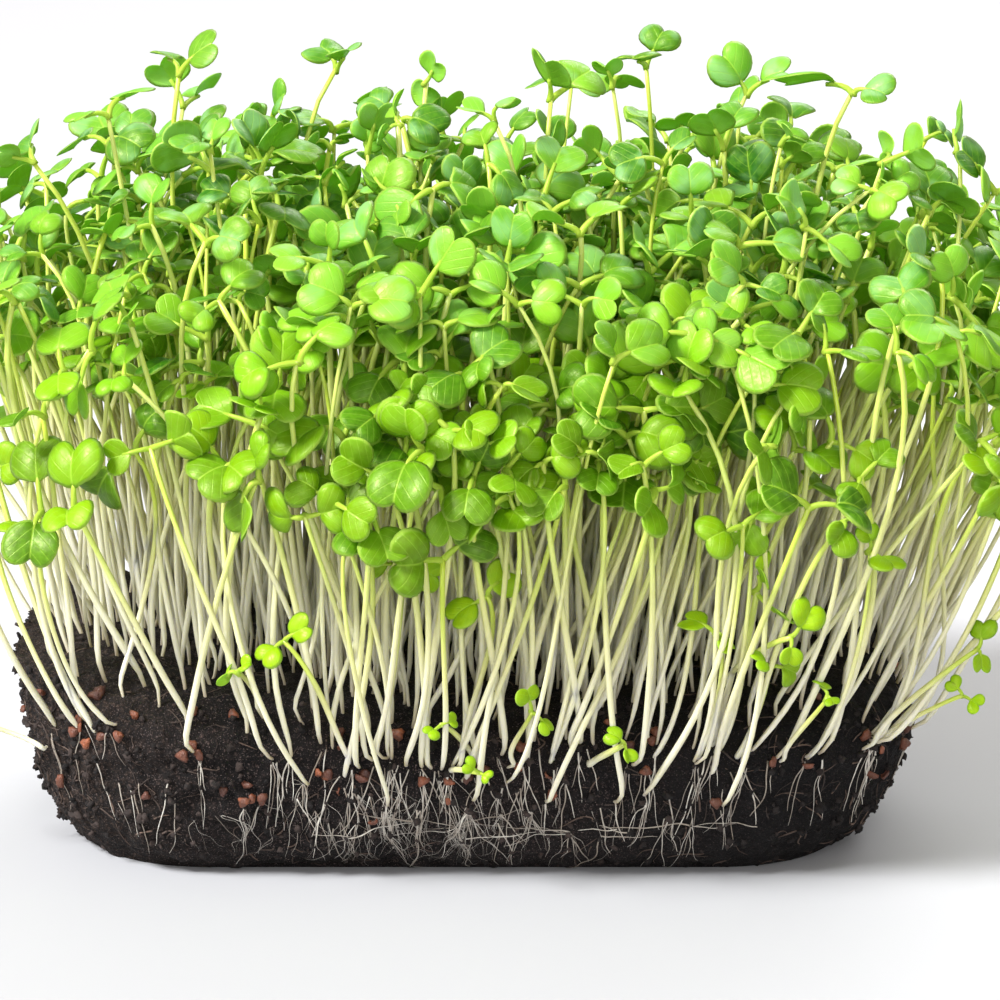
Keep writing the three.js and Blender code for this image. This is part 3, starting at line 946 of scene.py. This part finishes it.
def grow(index, cell, cells):
    """The stem shape and the leaf pair shapes of one sprout."""
    foot, tip = feet[index], tips[index]
    share = max(plan_share(*foot[:2]), 0)
    out = outward(*foot[:2])
    stray = index >= len(feet) - len(STRAYS) or (index < len(known) and tip[2] < 60)
    bulge = 0.55 * share**3 + 0.5 * smooth(26, 14, foot[2])
    aim = UP + out * bulge + rng.normal(0, 0.2, 3)
    tone = float(np.clip(rng.normal(0.5, 0.34), 0, 1))
    stem, lean = stem_shape(foot, inward[index], tip, aim, cell, tone)
    low = 1 - smooth(62, 108, tip[2])
    rim = smooth(0.2, 0.9, share)
    axis = lean * 0.25 + UP * 0.62 + out * (0.62 + 0.5 * low) * rim + rng.normal(0, 0.33, 3)
    size = float(np.clip(rng.normal(0.97 + 0.1 * rim, 0.16), 0.66, 1.25))
    lime = 0.02 + 0.12 * low**1.5 * rim + lerp(0.2, 0.34, low) * rng.random() ** 3
    if stray:
        size = lerp(0.42, 0.8, smooth(28, 52, tip[2])) * rng.uniform(0.9, 1.15)
        lime = rng.uniform(0.6, 0.95)
    spin, openness = rng.uniform(0, FULL_TURN), rng.normal(0.55, 0.24)
    return stem, leaf_pair(tip, unit(axis), spin, size, openness, lime, tone, cells)


for clump in range(len(known)):
    members = np.flatnonzero(owner == clump)
    width = 1 / len(members)
    stems, leaves = [], []
    for order, (index, cells) in enumerate(zip(members, leaf_cells(len(members)))):
        stem, pair = grow(index, (order * width, 0.0, width * 0.9, 1.0), cells)
        stems.append(stem)
        leaves += pair
    number = f"{clump + 1:02d}"
    for piece, node, slot in (
        (build("stems_" + number, stems, STEM), "stem_" + number, "stem"),
        (build("leaves_" + number, leaves, LEAF), "leaf_pair_" + number, "leaf"),
    ):
        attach(piece, "root")
        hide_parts(node)

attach(plug, "root")
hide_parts("soil_block")


# ---------------- seed coats

def seed_coat(place, normal):
    """A shed seed coat: half of a wrinkled, slightly open husk."""
    size = rng.uniform(*COAT_SIZES)
    rings, spokes = COAT_RINGS, COAT_SPOKES
    lat = np.linspace(0, 1, rings)[1:] * rng.uniform(1.5, 1.9)
    turn = np.arange(spokes) / spokes * 2 * math.pi
    a, b = (g.ravel() for g in np.meshgrid(lat, turn, indexing="ij"))
    wrinkle = 1 + 0.2 * np.sin(3 * b + rng.uniform(0, 6)) * np.sin(a) + rng.normal(0, 0.08, a.shape)
    outer = np.stack([np.sin(a) * np.cos(b) * 1.05, np.sin(a) * np.sin(b) * 0.85, 0.75 * np.cos(a)], -1)
    outer = np.concatenate([outer * wrinkle[:, None], [[0, 0, 0.75]]]) * size
    inner = outer * 0.86 - [0, 0, 0.06]
    count = len(outer)
    i, j = (g.ravel() for g in np.meshgrid(np.arange(rings - 2), np.arange(spokes), indexing="ij"))
    p, q = i * spokes + j, i * spokes + (j + 1) % spokes
    shell = np.stack([p, p + spokes, q + spokes, q], -1)
    j = np.arange(spokes)
    last = (rings - 2) * spokes
    after = (j + 1) % spokes
    lip = np.stack([last + j, last + count + j, last + count + after, last + after], -1)
    fan = np.stack([np.full(spokes, count - 1), j, after], -1)
    quads = np.concatenate([shell, shell[:, ::-1] + count, lip])
    triangles = np.concatenate([fan, fan[:, ::-1] + count])
    total = len(quads) + len(triangles)
    quad_uv = faces_in_cell(quads, WHOLE_CELL, 0, total)
    triangle_uv = faces_in_cell(triangles, WHOLE_CELL, len(quads), total)
    up = unit(normal + rng.normal(0, 0.6, 3))
    right = unit(np.cross(up, rng.normal(0, 1, 3)))
    points = np.concatenate([outer, inner])
    shape = Shape(points, quads, quad_uv, triangles, triangle_uv, tone=float(rng.random()))
    return turned(shape, [right, np.cross(up, right), up], place + normal * 0.35 * size)


def scatter_seed_coats():
    """Seed coats on the shoulder of the plug and beside the lowest stems, a piece round each CAD one."""
    groups = [[], [], []]
    centres = [np.array(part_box(f"seed_hull_{k + 1}")).mean(0) / MM for k in range(3)]
    for k, centre in enumerate(centres):
        groups[k].append(seed_coat(*on_soil(centre)))
    while sum(map(len, groups)) < SEED_COATS:
        x = rng.uniform(-0.5, 0.5) * PLUG_SIZE[0]
        if rng.random() < 0.45:
            x = rng.choice(SEED_CLUSTERS) + rng.normal(0, 3)
        y = rng.uniform(*((-0.5, 0.0) if rng.random() < 0.7 else (0, 0.5))) * PLUG_SIZE[1]
        if not 0.78 < plan_share(x, y) < 1.0:
            continue
        start = np.array([x * 1.1, y * 1.1, rng.uniform(13, 30)])
        if rng.random() < 0.5:
            start = beside[int(rng.integers(len(beside)))][0] + rng.normal(0, 1.6, 3)
        place, normal = on_soil(start)
        nearest = int(np.argmin([np.hypot(*(centre[:2] - place[:2])) for centre in centres]))
        groups[nearest].append(seed_coat(place, normal))
    for k, shapes in enumerate(groups):
        piece = build(f"seed_coats_{k + 1}", shift_uv(shapes), SEED)
        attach(piece, "root")
        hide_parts(f"seed_hull_{k + 1}")


scatter_seed_coats()


# ---------------- roots and peat fibres on the plug's faces

def crawl(start, heading, steps, step, wander, lift):
    """A path that wanders over the plug's surface, in millimetres."""
    place, normal = on_soil(start)
    path, aim = [place], heading
    for _ in range(steps - 1):
        heading = unit(lerp(heading, aim, 0.6) + rng.normal(0, wander, 3))
        heading = unit(heading - normal * heading.dot(normal))
        place, normal = on_soil(place + heading * step)
        path.append(place + normal * rng.uniform(0.5, 1.0) * lift)
    path = np.array(path)
    for _ in range(2):
        path[1:-1] = (path[:-2] + 2 * path[1:-1] + path[2:]) / 4
    path[:, 2] = np.maximum(path[:, 2], 0.4)
    return path


def scatter_roots():
    """Fine white roots on the faces of the plug, thickest at the front.

    Most hang down, two of them under each stem on the sides. The level ones run along the foot.
    """
    shapes = []
    edge = 0.6 * PLUG_SIZE[1]
    hanging = [(foot + rng.normal(0, 0.5, 3), 0.13) for foot, _ in beside for _ in range(2)]
    hanging += [((rng.normal(-13, 9), -edge, rng.uniform(5, 19)), 0.13) for _ in range(60)]
    hanging += [((rng.uniform(2, 44), -edge, rng.uniform(3, 17)), 0.15) for _ in range(40)]
    hanging += [((rng.uniform(-66, -30), -edge, rng.uniform(6, 20)), 0.06) for _ in range(12)]
    level = [((rng.uniform(-20, 50), -edge, rng.uniform(1.2, 4.5)), 0.26) for _ in range(18)]
    hairs = [((rng.normal(-8, 14), -edge, rng.uniform(1.5, 13)), 0.42) for _ in range(ROOT_HAIRS)]
    kinds = ["hanging"] * len(hanging) + ["level"] * len(level) + ["hair"] * len(hairs)
    for kind, (start, wander) in zip(kinds, hanging + level + hairs):
        steps = int(rng.integers(7, 20))
        heading = np.array([rng.normal(0, 0.2), 0, -1.0])
        if kind == "level":
            heading = np.array([rng.choice([-1.0, 1.0]), 0, rng.normal(0, 0.15)])
        path = crawl(start, heading, steps, ROOT_STEP, wander, ROOT_LIFT)
        thick = rng.uniform(*ROOT_RADII) * (HAIR_THINNESS if kind == "hair" else 1.0)
        radii = np.linspace(thick, thick * 0.4, steps)
        shapes.append(tube(path, radii, 5, WHOLE_CELL, tone=float(rng.random())))
    piece = build("fine_roots", shift_uv(shapes), ROOT)
    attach(piece, "root")


def scatter_fibres():
    """Short brown fibres of peat that lie over the plug."""
    shapes = []
    for _ in range(FIBRES):
        u, v = rng.uniform(-0.55, 0.55, 2)
        start = (u * PLUG_SIZE[0], v * PLUG_SIZE[1], rng.uniform(1, 30))
        steps = int(rng.integers(4, 9))
        path = crawl(start, unit(rng.normal(0, 1, 3)), steps, rng.uniform(0.5, 1.2), 0.5, FIBRE_LIFT)
        thick = rng.uniform(*FIBRE_RADII)
        radii = np.linspace(thick, thick * 0.5, steps)
        shapes.append(tube(path, radii, 4, WHOLE_CELL, tone=float(rng.random())))
    piece = build("peat_fibres", shift_uv(shapes), FIBRE)
    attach(piece, "root")


def scatter_crumbs():
    """Loose crumbs of peat stuck to the plug, from grit to lumps."""
    cube, quads = cube_grid((2, 2, 2))
    ball = cube / np.linalg.norm(cube, axis=1, keepdims=True)
    uv = faces_in_cell(quads, WHOLE_CELL, 0, len(quads))
    shapes = []
    while len(shapes) < CRUMBS:
        start = rng.uniform(-0.6, 0.6, 3) * [*PLUG_SIZE[:2], 0] + [0, 0, rng.uniform(0.5, 32)]
        place, normal = on_soil(start)
        if place[2] < 0.6:
            continue
        size = 0.13 + 0.5 * rng.random() ** 4
        points = ball * (1 + rng.normal(0, 0.27, (len(ball), 1))) * size * rng.uniform(0.55, 1.5, 3)
        turn = unit(rng.normal(0, 1, 3))
        across = unit(np.cross(turn, normal))
        points = points @ np.array([turn, across, np.cross(turn, across)]) + place + normal * size * 0.2
        points[:, 2] = np.maximum(points[:, 2], 0.1)
        shapes.append(Shape(points, quads, uv, tone=float(rng.random() ** 2)))
    for k in range(CRUMB_PIECES):
        piece = build(f"peat_crumbs_{k + 1}", shift_uv(shapes[k::CRUMB_PIECES]), CRUMB)
        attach(piece, "root")


scatter_roots()
scatter_fibres()
scatter_crumbs()


# ---------------- stage, light and camera

def make_stage():
    """The white floor, six metres square."""
    mesh = bpy.data.meshes.new("white_floor")
    reach = 3.0
    corners = [(-reach, -reach, 0), (reach, -reach, 0), (reach, reach, 0), (-reach, reach, 0)]
    mesh.from_pydata(corners, [], [(0, 1, 2, 3)])
    mesh.materials.append(floor_material())
    floor = bpy.data.objects.new("white_floor", mesh)
    bpy.context.scene.collection.objects.link(floor)


def area_light(name, place, aim, size, power, colour=(1, 1, 1)):
    data = bpy.data.lights.new(name, "AREA")
    data.shape = "RECTANGLE"
    data.size, data.size_y = size
    data.energy = power
    data.color = colour
    light = bpy.data.objects.new(name, data)
    light.location = place
    light.rotation_euler = (Vector(aim) - Vector(place)).to_track_quat("-Z", "Y").to_euler()
    bpy.context.scene.collection.objects.link(light)


def make_light():
    """A bright backdrop and three area lights, placed in metres and set in watts."""
    world = bpy.data.worlds.new("studio")
    world.use_nodes = True
    tree = world.node_tree
    background = tree.nodes["Background"]
    # The backdrop is white and bright to look at, and lights the scene with a softer, warmer light.
    path = tree.nodes.new("ShaderNodeLightPath")
    tint = tree.nodes.new("ShaderNodeMix")
    tint.data_type = "RGBA"
    tint.inputs[6].default_value = (1.0, 0.93, 0.86, 1.0)
    tint.inputs[7].default_value = (1.0, 1.0, 1.0, 1.0)
    tree.links.new(path.outputs["Is Camera Ray"], tint.inputs[0])
    tree.links.new(tint.outputs[2], background.inputs["Color"])
    seen = tree.nodes.new("ShaderNodeMapRange")
    seen.inputs["To Min"].default_value = 0.56
    seen.inputs["To Max"].default_value = 0.97
    tree.links.new(path.outputs["Is Camera Ray"], seen.inputs["Value"])
    tree.links.new(seen.outputs["Result"], background.inputs["Strength"])
    bpy.context.scene.world = world
    aim = (0.0, 0.0, 0.06)
    area_light("key", (-2.4, -1.5, 2.85), aim, (1.1, 1.1), 365.0, (1.0, 1.0, 1.0))
    area_light("fill", (0.3, -3.2, 1.1), aim, (2.6, 1.8), 60.0)
    area_light("back", (1.0, 2.6, 2.1), aim, (2.4, 1.5), 78.0)
    bpy.context.scene.view_settings.view_transform = "Standard"


def make_camera():
    """A long lens that looks a little down on the front, as in the photo."""
    data = bpy.data.cameras.new("camera")
    data.sensor_width = 36.0
    data.lens = data.sensor_width * CAMERA_DISTANCE / VIEW_WIDTH
    data.clip_start, data.clip_end = 0.01, 20.0
    camera = bpy.data.objects.new("camera", data)
    tilt = math.radians(CAMERA_ELEVATION)
    aim = np.array(CAMERA_AIM)
    place = aim + CAMERA_DISTANCE * np.array([0, -math.cos(tilt), math.sin(tilt)])
    camera.location = Vector(place * MM)
    camera.rotation_euler = (math.pi / 2 - tilt, 0, 0)
    bpy.context.scene.collection.objects.link(camera)
    bpy.context.scene.camera = camera


make_stage()
make_light()
make_camera()
